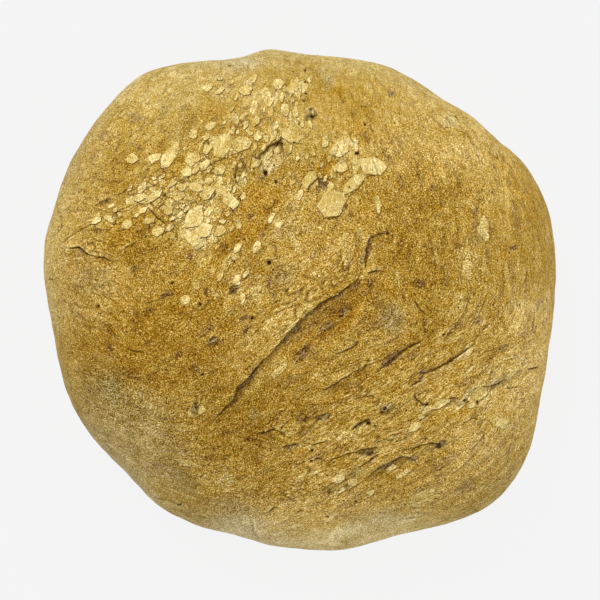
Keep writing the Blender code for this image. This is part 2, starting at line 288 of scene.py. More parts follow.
# Soft brown marks: place, half length, half width, bearing in degrees, strength
STAINED = (
    (-66.9, 2.6, 4.5, 1.7, 50, 0.8), (-75.5, -5.1, 2.8, 2.2, 0, 0.6), (-54.8, 22, 2.6, 1.8, 80, 0.6),
    (-95.5, -22.7, 4.2, 1.6, -70, 0.6), (-61, -27.6, 3.2, 1.6, 45, 0.5), (-45, -13, 3.0, 2.0, 40, 0.5),
    (-52.5, -34.8, 3.0, 2.4, 0, 0.4), (-47, 4.8, 3.2, 1.4, 85, 0.6), (-62.3, 15, 4.2, 1.4, 95, 0.4),
    (-74.9, 37, 4.2, 1.6, 35, 0.7), (-38.5, 26, 3.4, 2.4, 45, 0.7), (-33.2, 20.1, 1.8, 1.4, 0, 0.6),
    (-15.5, 8.3, 3.6, 1.4, 75, 0.8), (-12.4, 26.5, 2.8, 1.2, 90, 0.5), (-7.3, 12, 3.2, 1.2, 80, 0.5),
    (-13, 2, 2.0, 1.8, 0, 0.4), (-27.6, -9, 3.6, 1.6, 20, 0.9), (-27, -15.3, 4.2, 1.2, 55, 0.7),
    (-27, -22, 2.8, 1.3, 50, 0.6), (32, 22, 5.5, 2.8, 65, 0.6), (36, 8.3, 3.6, 2.6, 0, 0.6),
    (28.4, 8, 3.2, 2.2, 50, 0.8), (-2, -15, 6.0, 1.8, 48, 0.9), (0.5, -27, 7.0, 3.0, 45, 0.7),
    (13, -14, 8.0, 3.0, 40, 0.7), (22, -6, 7.0, 2.2, 35, 0.7), (35, -11, 6.0, 5.0, 0, 0.3),
    (42.9, 34.2, 2.8, 1.6, 30, 0.8), (51.5, 1.5, 3.6, 1.6, 90, 0.5), (59, 8.3, 3.4, 2.6, 0, 0.5),
    (62.4, -13, 5.0, 1.3, 90, 0.5), (88.8, -10, 3.4, 3.0, 0, 0.5), (79.6, -13, 3.4, 2.2, 0, 0.5),
    (106.3, 26.2, 2.4, 1.6, 0, 0.9), (119.8, -0.3, 2.4, 1.2, 0, 0.4), (47, -28.5, 8.0, 2.4, 38, 0.7),
    (63, -35, 6.0, 1.8, 30, 0.5), (102, -23, 4.2, 1.2, 20, 0.6), (0.5, -60, 3.6, 1.8, 0, 0.7),
    (-24, -69.6, 5.0, 1.6, -5, 0.5), (10.8, 57.5, 6.5, 3.0, 45, 0.6), (-30.5, 50.3, 3.5, 1.5, 60, 0.7),
    (-33.4, 44.8, 3.0, 1.5, 60, 0.6), (-24.7, 42.3, 2.0, 1.2, 0, 0.8), (46, 103, 2.8, 2.0, 0, 0.7),
    (45, 70, 4.5, 3.0, -60, 0.5), (66, 56, 2.2, 1.6, 60, 0.6), (-83, 91.5, 4.5, 3.5, 0, 0.5),
    (-80.2, 75.8, 3.0, 2.8, 0, 0.5), (-98, 49, 5.0, 1.4, 25, 0.7), (-12.5, 102, 3.0, 2.4, 0, 0.5),
    (57, -79.5, 4.0, 1.8, 0, 0.7), (44.5, -82.3, 5.0, 1.5, 30, 0.8), (75, -78, 5.0, 3.5, 20, 0.35),
    (84, -93, 7.0, 4.0, 30, 0.3), (27, -99, 6.0, 3.0, 20, 0.35), (-71.2, -82.9, 3.4, 2.0, 0, 0.6),
    (-47.3, -99.8, 4.0, 2.0, 0, 0.5), (-30.5, 60.3, 2.4, 1.2, 0, 0.8), (-22, 69, 4.0, 1.5, 70, 0.6),
    (-19.5, 61.5, 3.0, 1.2, 0, 0.6), (9.5, -10, 22, 4.4, 34, 0.3),
)
# Browning and flour: place, half length, half width, bearing in degrees, strength
TOASTED = (
    (-20, 50, 16, 10, 15, 1.0), (-25, 34, 13, 7, 20, 0.9), (19, 104.5, 5, 4.5, 0, 0.8),
    (34, 112, 6, 3.5, -20, 0.8), (26, 86, 11, 7, -20, 0.45), (109, 56, 19, 6, 115, 0.65),
    (106, 24, 7, 5, 0, 0.5), (80, -55, 16, 4, 20, 0.7), (16, -11, 30, 7, 38, 0.7),
    (-84, 93, 10, 6, 40, 0.5), (-72, -12, 42, 24, 30, 0.35), (16, -79, 8, 3, 15, 0.6),
    (-82, 37, 22, 9, 32, 0.6), (30, -100, 36, 10, 10, 0.25), (55, -88, 20, 8, 20, 0.4),
    (34, 45, 16, 10, 40, 0.35), (12, 66, 9, 5, 40, 0.7), (-60, 66, 18, 3, 40, 0.6),
    (-70, 49, 18, 3, 40, 0.55), (-40, 22, 8, 5, 70, 0.5), (46, 104, 7, 4, -30, 0.4),
    (43.4, 8.3, 4, 3, 0, 0.6), (1.7, -76.5, 5, 3, 0, 0.6), (-38, 36, 12, 10, 0, 0.5),
)
PALE = (
    (90, -46.5, 9, 6, 30, 0.8), (38.5, 75, 4, 2.6, 20, 0.5), (53.9, -49.6, 4, 3, 0, 0.5),
    (101, -61.5, 7, 5, 0, 0.5), (60, -99, 10, 5, 20, 0.6), (75, 89, 7, 5, -20, 0.6),
    (66, -54, 12, 3, 25, 0.6), (47, -70, 12, 3, 25, 0.3), (14, -119, 22, 6, 5, 0.7),
    (-48, 52, 22, 16, 40, 0.4), (-4, 80, 18, 14, 0, 0.5), (-50, 33, 14, 8, 10, 0.5),
    (-18, 104, 16, 9, 0, 0.45), (-70, 105, 26, 6, 38, 0.6), (28, -65, 14, 4, 20, 0.5),
    (-20, -40, 22, 4, 45, 0.35), (-5, -12, 26, 5, 42, 0.3), (-47.3, -89.7, 4, 3, 0, 0.5),
    (100, -35, 14, 8, 20, 0.35), (82, 96, 18, 5, -45, 0.4), (30, 116, 20, 5, -10, 0.4),
    (-6, 36, 16, 10, 60, 0.3), (22, 76, 9, 7, 30, 0.5), (-62, 96, 30, 12, 30, 0.4),
    (-37.4, 18, 4.5, 2.6, 60, 0.8), (-21.3, 3.7, 6, 3.6, 75, 0.7), (-4.1, 32.1, 2.2, 1.8, 0, 0.8),
    (-1.8, 27.2, 3.2, 2.4, 30, 0.6), (3.4, 19.7, 1.6, 1.3, 0, 0.7), (24, 39.3, 3.4, 2.4, 40, 0.6),
    (29.2, 34.7, 2.4, 2.0, 0, 0.6), (49.2, 10, 4.6, 1.8, 100, 0.8), (68.1, 22.6, 3.2, 1.5, 100, 0.8),
    (82.5, 23.2, 5, 3.6, 0, 0.4), (91, 15.2, 3.2, 2, 0, 0.5), (79.6, 2.5, 4.5, 2.4, 0, 0.5),
    (111.2, -3.2, 6, 3.4, 0, 0.6), (3.4, -88, 10.5, 2.2, 22, 0.9), (-43.7, 44.8, 4, 3, 0, 0.7),
    (0.5, 74.1, 4.5, 2.6, 100, 0.6), (12, 75.8, 3.2, 2.6, 0, 0.5), (-62, 49, 6, 2, 35, 0.6),
    (-46, 9, 3, 1.4, 60, 0.4), (-52, 8, 6, 3, 60, 0.4), (72, -28, 8, 2, 30, 0.5),
    (44, -42, 12, 1.6, 30, 0.4), (86, -35, 9, 1.5, 28, 0.5), (40, -90, 6, 2, 30, 0.5),
    (22, -86, 5, 2, 30, 0.5), (66, -96, 6, 3, 20, 0.4), (94, -78, 4, 2.5, 50, 0.4),
)
FLOURED = (
    (-94, -46, 6, 12, 20, 0.35), (-37.5, -90, 6, 4, 30, 0.4), (-33, -112, 18, 7, -8, 0.7),
    (-84, -62, 46, 24, -45, 0.3), (37, -113, 26, 5, 14, 0.6), (-28, 119, 12, 4, 0, 0.6),
    (14.5, 114, 6, 5, 0, 0.35), (-60, 100, 12, 7, 30, 0.3), (-38, 105, 8, 5, 10, 0.3),
    (-95.2, 16, 3, 2.6, 0, 0.4), (75, 89, 5, 3, 0, 0.6), (-8, -74, 3, 1, 15, 0.7),
    (29, -62.5, 3, 1.0, 30, 0.8),
)
# What the rim is like on each side: bearing and half width in degrees, strength
RIMS = {
    "toasted": ((28, 10, 0.3),),
    # the pale rim is partly painted light, for the light that the flanks get from bright surroundings
    "pale": ((350, 28, 0.3), (60, 30, 0.7), (112, 30, 0.6), (166, 10, 0.5)),
    "greyed": ((224, 26, 0.8), (262, 16, 0.4), (312, 12, 0.3), (150, 9, 0.35)),
    "floured": (
        (180, 12, 0.7), (258, 12, 0.6), (228, 30, 0.45), (270, 40, 0.4), (95, 50, 0.45),
        (145, 30, 0.45), (318, 20, 0.3), (288, 16, 0.7), (105, 14, 0.45),
    ),
}
# Where the crust is smooth, without coarse grain: place, half length, half width, bearing, strength
SMOOTH = (
    (0, 118, 100, 60, 0, 0.7), (-85, 62, 50, 30, 50, 0.35), (110, 40, 26, 60, 10, 0.3),
    (-70, -92, 50, 20, -40, 0.4), (20, -116, 70, 14, 5, 0.4),
)
# Dull grey skin that dried without browning
GREYED = (
    (46, -10, 8, 10, 0, 0.7), (-60, -90, 14, 7, -25, 0.6), (-33, -104, 13, 6, -10, 0.5),
    (37, -108, 20, 4, 14, 0.4), (17, -95, 14, 4, 5, 0.3), (-94, -44, 6, 10, 10, 0.4),
    (-23, -57, 5, 3, 60, 0.6), (99, -40.5, 7, 2.2, 25, 0.5), (101, -24, 5, 2, 20, 0.5),
    (-58, 86, 12, 6, 40, 0.25), (-8, 10, 12, 6, 50, 0.3), (-30, 118, 10, 5, 0, 0.3),
    (-104, 9.5, 11, 10, 0, 0.35), (-77, -85, 3, 6, 20, 0.5), (19, 2.5, 4, 1.5, 30, 0.6),
    (88, 31, 5, 4, 0, 0.35), (14, 108, 4, 5, 0, 0.4), (-68, 94.3, 2.5, 4, 0, 0.4),
    (29, -86, 4, 3, 40, 0.4), (-39, -84, 4, 3, 40, 0.4), (120, -3, 4, 3, 0, 0.3),
    (-84, -62, 46, 24, -45, 0.35),
)
# Where the dough's drawn-out lines show most: place, half length, half width, bearing, strength
DRAWN = (
    (58, -44, 78, 34, 28, 1.0), (-5, -6, 56, 13, 42, 0.9), (-88, 40, 34, 15, 34, 1.0),
    (-50, 58, 52, 24, 40, 0.75), (10, -86, 64, 20, 12, 0.9), (20, 12, 40, 12, 42, 0.6),
    (-10, -60, 40, 14, 30, 0.5),
)

# Dry flakes that stand up from the crust: place, half length, half width, bearing, lift in mm, and
# how ragged the rim is
FLAKES = (
    (-29.5, 78, 5.3, 3.8, 5, 0.7, 0.10), (-39.2, 76.8, 6.2, 4.5, 60, 0.6, 0.14),
    (-44.8, 87.2, 3.2, 1.8, 40, 0.5, 0.12), (-53.5, 82.8, 2.6, 2.0, 70, 0.5, 0.10),
    (-53.8, 70.2, 3.7, 3.0, 50, 0.6, 0.10), (-65.5, 71.2, 6.6, 3.0, 48, 0.5, 0.08),
    (-57, 64.2, 3.0, 2.3, 30, 0.6, 0.12), (-84, 70.5, 3.0, 2.2, 30, 0.4, 0.10),
    (-51.8, 56.2, 4.0, 2.1, -12, 0.5, 0.12), (-46.2, 53.8, 3.6, 2.9, 60, 0.5, 0.12),
    (-39.2, 55, 4.4, 2.1, 130, 0.5, 0.10), (-34.8, 49.8, 4.5, 3.0, 140, 0.4, 0.14),
    (-72.8, 52.2, 5.0, 1.6, 38, 0.4, 0.10), (-78.5, 44.8, 2.8, 1.4, 30, 0.5, 0.10),
    (-92.5, 45, 1.2, 1.0, 40, 0.6, 0.08), (-52.5, 41, 5.6, 4.4, 40, 0.5, 0.15),
    (-52.5, 30.2, 6.0, 3.2, 135, 0.5, 0.12), (-38.5, 39.5, 1.9, 1.2, 0, 0.7, 0.10),
    (-66, 45, 2.8, 2.2, 30, 0.4, 0.10), (-4.5, 106.2, 4.2, 2.0, 100, 0.5, 0.12),
    (-26.8, 105.5, 4.5, 2.6, 50, 0.4, 0.14), (-16.5, 102, 5.0, 2.5, 110, 0.3, 0.16),
    (-5.2, 82.2, 6.0, 3.0, -35, 0.8, 0.12), (-22, 89.5, 3.0, 2.0, 30, 0.3, 0.12),
    (4.5, 60.5, 5.6, 3.0, 52, 0.9, 0.10), (21, 67, 3.6, 3.0, 60, 0.9, 0.08),
    (27.8, 67.5, 4.7, 2.5, 85, 0.8, 0.08), (36.5, 67, 6.8, 4.6, -12, 1.0, 0.10),
    (20, 75.8, 5.0, 3.8, 30, 0.5, 0.14), (26, 58, 7.0, 3.0, 38, 0.8, 0.12),
    (15.5, 48, 7.8, 5.8, 15, 1.1, 0.20), (90, -46.5, 4.6, 3.0, 35, 0.5, 0.18),
    (70.5, -52, 4.5, 1.6, 25, 0.4, 0.12), (101, -61.5, 3.0, 2.4, 30, 0.3, 0.16),
    (-72.6, 71.2, 3.4, 2.0, 35, 0.5, 0.10), (-62.3, 76.4, 3.0, 2.0, 40, 0.4, 0.12),
    (-64, 58, 3.2, 1.0, 35, 0.5, 0.10), (-11, 108, 3.0, 2.6, 60, 0.3, 0.12),
    (-46.2, 75.3, 2.6, 2.0, 50, 0.4, 0.10), (-1.2, 105.7, 5.6, 1.8, 95, 0.4, 0.08),
    (-39.7, 65.5, 3.2, 2.6, 40, 0.5, 0.12), (-14.4, 41, 3.0, 1.2, 60, 0.5, 0.10),
    (-10.4, 37.8, 2.0, 1.6, 40, 0.5, 0.10), (-48, 34.5, 4.6, 3.6, 20, 0.5, 0.12),
    (-57.4, 0.3, 2.6, 2.3, 0, 0.4, 0.12),
)
# Where small flakes lie like a mosaic: place, half length, half width, bearing, share that is left
MOSAICS = (
    (-50, 60, 38, 22, 40, 0.55), (-48, 36, 18, 11, 0, 0.5), (-14, 88, 24, 16, 0, 0.3),
    (12, 66, 20, 12, 30, 0.35), (-20, 106, 28, 8, 0, 0.3), (-84, 48, 22, 8, 34, 0.25),
    (-30, 12, 20, 12, 50, 0.2), (74, -54, 26, 4, 22, 0.2), (30, -92, 24, 8, 14, 0.15),
)
SMALL_FLAKE_ROOM = 17.0  # square mm of a mosaic for each small flake at a share of 1
SMALL_FLAKE_GAP = 0.4  # mm left free round each flake, at least


def smooth_step(low, high, value):
    """0 below low, 1 above high, and a smooth rise between."""
    share = np.clip((value - low) / (high - low), 0.0, 1.0)
    return share * share * (3.0 - 2.0 * share)


def bell(distance, width):
    return np.exp(-((distance / width) ** 2))


def lumps(points, size, seed):
    """Smooth noise, about -1 to 1, with lumps of this size at points of the same unit."""
    return np.array([noise.noise(place) for place in (points / size + seed).tolist()])


def rough_lumps(points, size, seed, octaves):
    """Lumps with smaller lumps on them."""
    total = lumps(points, size, seed)
    for octave in range(1, octaves):
        total += lumps(points, size / 2.1**octave, seed + 9.0 * octave) / 1.8**octave
    return total


def turned(u, v, bearing):
    """The same places measured along and across a bearing."""
    along = u * math.cos(bearing) + v * math.sin(bearing)
    across = v * math.cos(bearing) - u * math.sin(bearing)
    return along, across


class Flow:
    """The drawn-out dough: how far along its lines a place lies, and on which line, in mm.

    Two smooth heights over the loaf, added up from bells, that rise along and across the lines.
    """

    def __init__(self):
        side = np.arange(-GRID_REACH + FLOW_STEP, GRID_REACH, FLOW_STEP)
        u, v = (places.ravel() for places in np.meshgrid(side, side, indexing="ij"))
        near = np.hypot(u, v) < GRID_REACH - 5.0
        u, v = u[near], v[near]
        east, north = self.heading(u, v)
        (bells_u, rises_u), (bells_v, rises_v) = self.bells(u), self.bells(v)
        rises = np.vstack((
            (rises_u[:, :, None] * bells_v[:, None, :]).reshape(len(u), -1),
            (bells_u[:, :, None] * rises_v[:, None, :]).reshape(len(u), -1),
        ))
        goals = np.column_stack((np.concatenate((east, north)), np.concatenate((-north, east))))
        found = np.linalg.lstsq(rises, goals, rcond=1e-6)[0]
        self.heights = [column.reshape(bells_u.shape[1], -1) for column in found.T]

    def heading(self, u, v):
        """The direction of the lines, of unit length, between the places of FLOW."""
        near_u, near_v, bearing = np.array(FLOW, dtype=float).T
        gap = (u[:, None] - near_u) ** 2 + (v[:, None] - near_v) ** 2
        closeness = 1.0 / (gap + FLOW_NEAR**2) ** 2
        east = closeness @ np.cos(np.radians(bearing))
        north = closeness @ np.sin(np.radians(bearing))
        length = np.hypot(east, north)
        return east / length, north / length

    def bells(self, places):
        """Bells at even steps over the loaf, and how they rise, at places along one side of it."""
        middles = np.arange(-GRID_REACH, GRID_REACH + 1.0, FLOW_CELL)
        gap = (places[:, None] - middles) / FLOW_SPREAD
        height = bell(gap, 1.0)
        return height, -2.0 / FLOW_SPREAD * gap * height

    def at(self, u, v):
        bells_u, bells_v = self.bells(u)[0], self.bells(v)[0]
        return [((bells_u @ heights) * bells_v).sum(axis=1) for heights in self.heights]


def as_seen(points):
    """Places in mm in the view from above, of points in metres."""
    scale = (EYE_HEIGHT - WAIST) / (EYE_HEIGHT - points[:, 2]) / MM
    return points[:, 0] * scale, points[:, 1] * scale


def oval_reach(u, v, place, half_length, half_width, bearing):
    """How far out of an oval places are: 0 at its middle, 1 on its rim."""
    along, across = turned(u - place[0], v - place[1], math.radians(bearing))
    return np.hypot(along / half_length, across / half_width)


def beside(route, u, v):
    """The share of a route's length passed, and the distance from it, positive on its left."""
    best = np.full(len(u), 1e9)
    passed_share = np.zeros(len(u))
    passed = 0.0
    for (au, av), (bu, bv) in zip(route, route[1:]):
        du, dv = bu - au, bv - av
        length = math.hypot(du, dv)
        along = np.clip(((u - au) * du + (v - av) * dv) / length**2, 0.0, 1.0)
        gap = np.hypot(u - au - along * du, v - av - along * dv)
        left = np.where(du * (v - av) - dv * (u - au) < 0.0, -1.0, 1.0)
        nearer = gap < np.abs(best)
        best = np.where(nearer, gap * left, best)
        passed_share = np.where(nearer, passed + along * length, passed_share)
        passed += length
    return passed_share / passed, best


# ---------------------------------------------------------------- the studio
def make_eye():
    camera = bpy.data.cameras.new("eye_above")
    camera.sensor_width = SENSOR
    camera.lens = SENSOR * (EYE_HEIGHT - WAIST) / VIEW_WIDTH
    camera.clip_end = FAR_CLIP
    eye = bpy.data.objects.new("eye_above", camera)
    eye.location = (0.0, 0.0, EYE_HEIGHT)
    bpy.context.scene.collection.objects.link(eye)
    bpy.context.scene.camera = eye


# ---------------------------------------------------------------- finishes, made of nodes
SHADE_TINT = (1.0, 1.05, 1.2)  # a shade changes green a little more than red, and blue the most
DARKEST = (0.02, 0.02, 0.02)


class Wire:
    """What comes out of a node. Arithmetic on it adds Math nodes."""

    def __init__(self, finish, socket):
        self.finish = finish
        self.socket = socket

    def math(self, operation, *values):
        return self.finish.add("ShaderNodeMath", {"operation": operation}, dict(enumerate(values)))

    def __add__(self, other):
        return self.math("ADD", self, other)

    def __sub__(self, other):
        return self.math("SUBTRACT", self, other)

    def __rsub__(self, other):
        return self.math("SUBTRACT", other, self)

    def __mul__(self, other):
        return self.math("MULTIPLY", self, other)

    def __abs__(self):
        return self.math("ABSOLUTE", self)

    __radd__ = __add__
    __rmul__ = __mul__


class Finish:
    """A material, built node by node."""

    def __init__(self, name):
        self.material = bpy.data.materials.new(name)
        self.material.use_nodes = True
        self.nodes = self.material.node_tree.nodes
        self.links = self.material.node_tree.links
        self.nodes.clear()

    def add(self, kind, settings, sockets, output=0):
        """Adds a node: its settings first, then what goes into its sockets."""
        node = self.nodes.new(kind)
        for name, value in settings.items():
            setattr(node, name, value)
        for name, value in sockets.items():
            if isinstance(value, Wire):
                self.links.new(value.socket, node.inputs[name])
            else:
                node.inputs[name].default_value = value
        return None if output is None else Wire(self, node.outputs[output])

    def mask(self, name):
        return self.add("ShaderNodeAttribute", {"attribute_name": name}, {}, "Fac")

    def places(self, name):
        return self.add("ShaderNodeAttribute", {"attribute_name": name}, {}, "Vector")

    def stretched(self, places, scale):
        return self.add("ShaderNodeVectorMath", {"operation": "MULTIPLY"}, {0: places, 1: scale})

    def grain(self, places, size, detail=2.0, roughness=0.6):
        """Noise from 0 to 1 with lumps of about this size in mm."""
        sockets = {"Vector": places, "Scale": 1.0 / size, "Detail": detail, "Roughness": roughness}
        return self.add("ShaderNodeTexNoise", {}, sockets)

    def bent(self, places, size, reach):
        """Places moved about by up to half the reach, in swirls of this size."""
        sockets = {"Vector": places, "Scale": 1.0 / size, "Detail": 1.0}
        swirl = self.add("ShaderNodeTexNoise", {}, sockets, "Color")
        moved = self.add(
            "ShaderNodeVectorMath", {"operation": "MULTIPLY_ADD"},
            {0: swirl, 1: (reach, reach, reach), 2: (-reach / 2.0, -reach / 2.0, -reach / 2.0)},
        )
        return self.add("ShaderNodeVectorMath", {"operation": "ADD"}, {0: places, 1: moved})

    def cells(self, places, size, feature, output):
        """Cells of about this size in mm: a tone for each, or how far places are from middle or edge."""
        sockets = {"Vector": places, "Scale": 1.0 / size}
        return self.add("ShaderNodeTexVoronoi", {"feature": feature}, sockets, output)

    def step(self, value, low, high):
        """0 below low, 1 above high, and a smooth rise between."""
        sockets = {"Value": value, "From Min": low, "From Max": high}
        return self.add("ShaderNodeMapRange", {"interpolation_type": "SMOOTHSTEP"}, sockets)

    def between(self, share, first, second):
        """A colour between two others."""
        return self.add("ShaderNodeMix", {"data_type": "RGBA"}, {0: share, 6: first, 7: second}, 2)

    def line(self, name, wobble):
        """1 on the crust's drawn lines and 0 beside them, and how far to their left places are."""
        parts = {"Vector": self.places(name)}
        gap = self.add("ShaderNodeSeparateXYZ", {}, parts, "X") + wobble
        half_width = self.add("ShaderNodeSeparateXYZ", {}, parts, "Y")
        on_line = self.step(half_width - abs(gap), -0.12, 0.18)
        return on_line * self.step(half_width, 0.02, 0.2), gap

    def lit(self, colour, shade):
        """A colour made lighter or darker by the shade, as a screen shows it."""
        sockets = {0: shade, 1: SHADE_TINT, 2: colour}
        colour = self.add("ShaderNodeVectorMath", {"operation": "MULTIPLY_ADD"}, sockets)
        return self.add("ShaderNodeVectorMath", {"operation": "MAXIMUM"}, {0: colour, 1: DARKEST})


def paint(red, green, blue):
    """A colour as a screen shows it, 0 to 255, for a socket."""
    return (red / 255, green / 255, blue / 255, 1.0)


# ---------------------------------------------------------------- the crust's relief and colouring
MASKS = ("toasted", "stain_and_shade", "pale", "floured", "greyed", "shadowed", "drawn", "flaky", "smooth")
LIGHT_BEARING = math.radians(118)  # where the light comes from, so a lip's shade lies away from it
LINE_REACH = 3.0  # mm from a drawn line, more than any line's half width
SLIT_WIDTH = 0.75  # mm of a fold's gap that is painted dark as shade; what is wider is painted brown as shade
ENDING = 0.12  # the share of a route over which each of its ends fades


class Lines:
    """The nearest of the drawn lines: how far off it is, positive on its left, and its half width."""

    def __init__(self, count):
        self.gap = np.full(count, LINE_REACH)
        self.next_gap = np.full(count, LINE_REACH)
        self.half_width = np.zeros(count)

    def draw(self, gap, half_width):
        nearer = np.abs(gap) < np.abs(self.gap)
        self.next_gap = np.where(nearer, np.abs(self.gap), np.minimum(self.next_gap, np.abs(gap)))
        self.gap = np.where(nearer, gap, self.gap)
        self.half_width = np.where(nearer, half_width, self.half_width)

    def drawn(self):
        """Both, with no width left midway between lines, where the gap's sign turns over."""
        outside = np.abs(self.gap) - self.half_width
        alone = smooth_step(0.0, 1.2, self.next_gap - np.abs(self.gap))
        kept = np.maximum(alone, 1.0 - smooth_step(0.0, 0.5, outside))
        kept = kept * (1.0 - smooth_step(0.6, 1.4, outside))
        return np.column_stack((self.gap, self.half_width * kept, np.zeros(len(kept))))


class Crust:
    """The crust at a set of places: its relief in mm, and the masks that its finish reads."""

    def __init__(self, points, normals, flow):
        u, v = as_seen(points)
        self.points = points / MM
        self.seen = smooth_step(0.02, 0.34, normals[:, 2])
        self.level = smooth_step(0.0, 0.9, normals[:, 2])
        self.rim = bell(normals[:, 2] - 0.15, 0.5)
        self.bearing = np.degrees(np.arctan2(v, u))
        self.along, self.line = flow.at(u, v)
        flat = np.column_stack((u, v, np.zeros(len(u))))
        self.u = u + 0.5 * lumps(flat, 4.0, 3.1) + 0.25 * lumps(flat, 1.3, 4.1)
        self.v = v + 0.5 * lumps(flat, 4.0, 8.7) + 0.25 * lumps(flat, 1.3, 9.3)
        self.wander = lumps(flat, 7.0, 21.3)
        self.blotch = rough_lumps(flat, 9.0, 5.5, 4)
        self.height = np.zeros(len(u))
        self.lightness = np.zeros(len(u))
        self.torn = Lines(len(u))
        self.ridges = Lines(len(u))
        self.masks = {name: np.zeros(len(u)) for name in MASKS}

    def mark(self, name, amount):
        """Adds to a mask, which never passes 1."""
        self.masks[name] = 1.0 - (1.0 - self.masks[name]) * (1.0 - np.clip(amount, 0.0, 1.0))

    def ends(self, share):
        """1 along a route, falling to 0 at both its ends."""
        return smooth_step(0.0, ENDING, share) * smooth_step(0.0, ENDING, 1.0 - share) * self.seen

    def fold(self, route, drop, dip, lip, gape):
        share, gap = beside(route, self.u, self.v)
        fade = self.ends(share)
        widths = np.atleast_1d(gape)
        wide = np.interp(share, np.linspace(0.0, 1.0, len(widths)), widths)
        wide = wide * fade * (0.9 + 0.6 * self.wander)
        high = smooth_step(-0.2, 0.3, gap)
        slit = np.minimum(wide, SLIT_WIDTH) * (1.0 - 0.6 * smooth_step(0.8, 1.8, wide))
        relief = high * lip * bell(gap, 2.2) - (1.0 - high) * drop * bell(gap, dip)
        opened = 0.6 * slit * bell(gap + 0.5 * slit, 0.6 * slit + 0.05)
        opened = opened + 0.14 * wide * bell(gap + 0.55 * wide, 0.6 * wide + 0.05)
        self.height += 0.6 * fade * relief - opened
        # The gap is painted as shade: dark along its slit, and brown where it is wide
        self.torn.draw(gap + 0.45 * slit, 0.5 * slit)
        brown = smooth_step(0.4, 1.2, wide) * bell(gap + 0.6 * wide, 0.7 * wide + 0.05)
        self.mark("stain_and_shade", 0.85 * brown * np.clip(0.9 + 0.8 * self.blotch, 0.0, 1.0))
        self.mark("toasted", 0.35 * fade * (1.0 - high) * bell(gap, 0.6 * dip))
        self.mark("shadowed", 0.15 * fade * (1.0 - high) * bell(gap, 0.5 * dip))
        # A painted highlight along the lip's edge
        self.mark("pale", 0.5 * fade * high * bell(gap - 0.7, 0.7))

    def crack(self, route, width, depth):
        share, gap = beside(route, self.u, self.v)
        fade = self.ends(share) * np.clip(0.9 + 0.9 * self.wander, 0.3, 1.0)
        self.height += fade * depth * (0.25 * bell(gap - 2.2 * width, width) - bell(gap, width))
        # The crack's line, which the finish paints dark as shade
        self.torn.draw(gap, 0.62 * width * fade)
        self.mark("pale", 0.3 * fade * bell(gap - 2.2 * width, width))

    def ridge(self, route, width, height):
        share, gap = beside(route, self.u, self.v)
        fade = self.ends(share)
        self.height += fade * height * bell(gap, width)
        self.ridges.draw(gap, 0.7 * width * fade)

    def pinhole(self, u, v, radius):
        gap = np.hypot(self.u - u, self.v - v)
        hole = (1.0 - smooth_step(0.45, 1.1, gap / radius)) * self.seen
        self.height += 0.16 * radius * bell(gap / radius - 1.6, 0.5) * self.seen - 1.7 * radius * hole
        # The hole, which the finish paints dark as shade
        self.torn.draw(gap, 0.75 * radius * self.seen)
        self.mark("pale", 0.3 * bell(gap / radius - 1.9, 0.6) * self.seen)

    def blister(self, u, v, half_length, half_width, bearing, height, grey):
        reach = oval_reach(self.u, self.v, (u, v), half_length, half_width, bearing) + 0.15 * self.blotch
        inside = np.clip(1.0 - reach**2, 0.0, 1.0) * self.seen
        skin = np.abs(lumps(self.points, 1.8, 31.7))
        self.height += (0.7 * height - 0.3 * skin) * inside**0.8
        # Painted shadow on the rim's side away from the light, on the side towards it when the blister is
        # sunken, and a painted highlight on the other side
        away = turned(self.u - u, self.v - v, LIGHT_BEARING)[0]
        shaded = smooth_step(-1.0, 1.5, -away if height > 0.0 else away)
        self.mark("shadowed", 0.45 * bell(reach - 0.98, 0.2) * shaded * self.seen)
        self.mark("pale", 0.3 * bell(reach - 1.1, 0.2) * (1.0 - shaded) * self.seen)
        self.mark("greyed", grey * smooth_step(0.0, 0.35, inside))
        self.mark("shadowed", 0.9 * grey * smooth_step(0.1, 0.6, inside) * smooth_step(0.1, 0.4, skin))

    def crater(self, u, v, half_length, half_width, bearing):
        """A blister that burst: a sunken, wrinkled skin within a torn rim."""
        reach = oval_reach(self.u, self.v, (u, v), half_length, half_width, bearing) + 0.14 * self.blotch
        inside = (1.0 - smooth_step(0.82, 1.0, reach)) * self.seen
        wrinkle = np.abs(lumps(self.points, 3.2, 41.0)) + 0.4 * np.abs(lumps(self.points, 1.4, 43.0))
        self.height += (1.6 * wrinkle - 1.9) * inside + 0.8 * bell(reach - 1.05, 0.12) * self.seen
        shaded = smooth_step(-2.0, 5.0, turned(self.u - u, self.v - v, LIGHT_BEARING)[0])
        self.mark("shadowed", 0.8 * bell(reach - 0.93, 0.07) * shaded * self.seen)
        self.mark("shadowed", 0.7 * inside * (1.0 - smooth_step(0.02, 0.16, wrinkle)))
        self.mark("greyed", 0.25 * inside)
        self.mark("pale", inside * smooth_step(0.1, 0.35, wrinkle))
        self.masks["flaky"] = self.masks["flaky"] * (1.0 - inside)

    def patch(self, u, v, half_length, half_width, bearing, strength):
        """The strength inside a soft, uneven oval, and 0 outside it."""
        reach = oval_reach(self.u, self.v, (u, v), half_length, half_width, bearing) + 0.16 * self.blotch
        return strength * (1.0 - smooth_step(0.35, 1.15, reach)) * self.seen

    def mark_rim(self, name, bearing, half_width, strength):
        """Marks the rim of one side."""
        turn = (self.bearing - bearing + 180.0) % 360.0 - 180.0
        self.mark(name, strength * bell(turn, half_width) * self.rim)

    def dough_lines(self):
        """The broad bands of the drawn-out dough."""
        drawn = self.masks["drawn"]
        lines = np.column_stack((self.line, self.along * 0.1, np.zeros(len(self.line))))
        bands = lumps(lines, 7.0, 51.0)
        self.height += drawn * (0.3 * bands + 0.1 * lumps(lines, 3.0, 53.0))
        self.lightness += 0.5 * drawn * bands

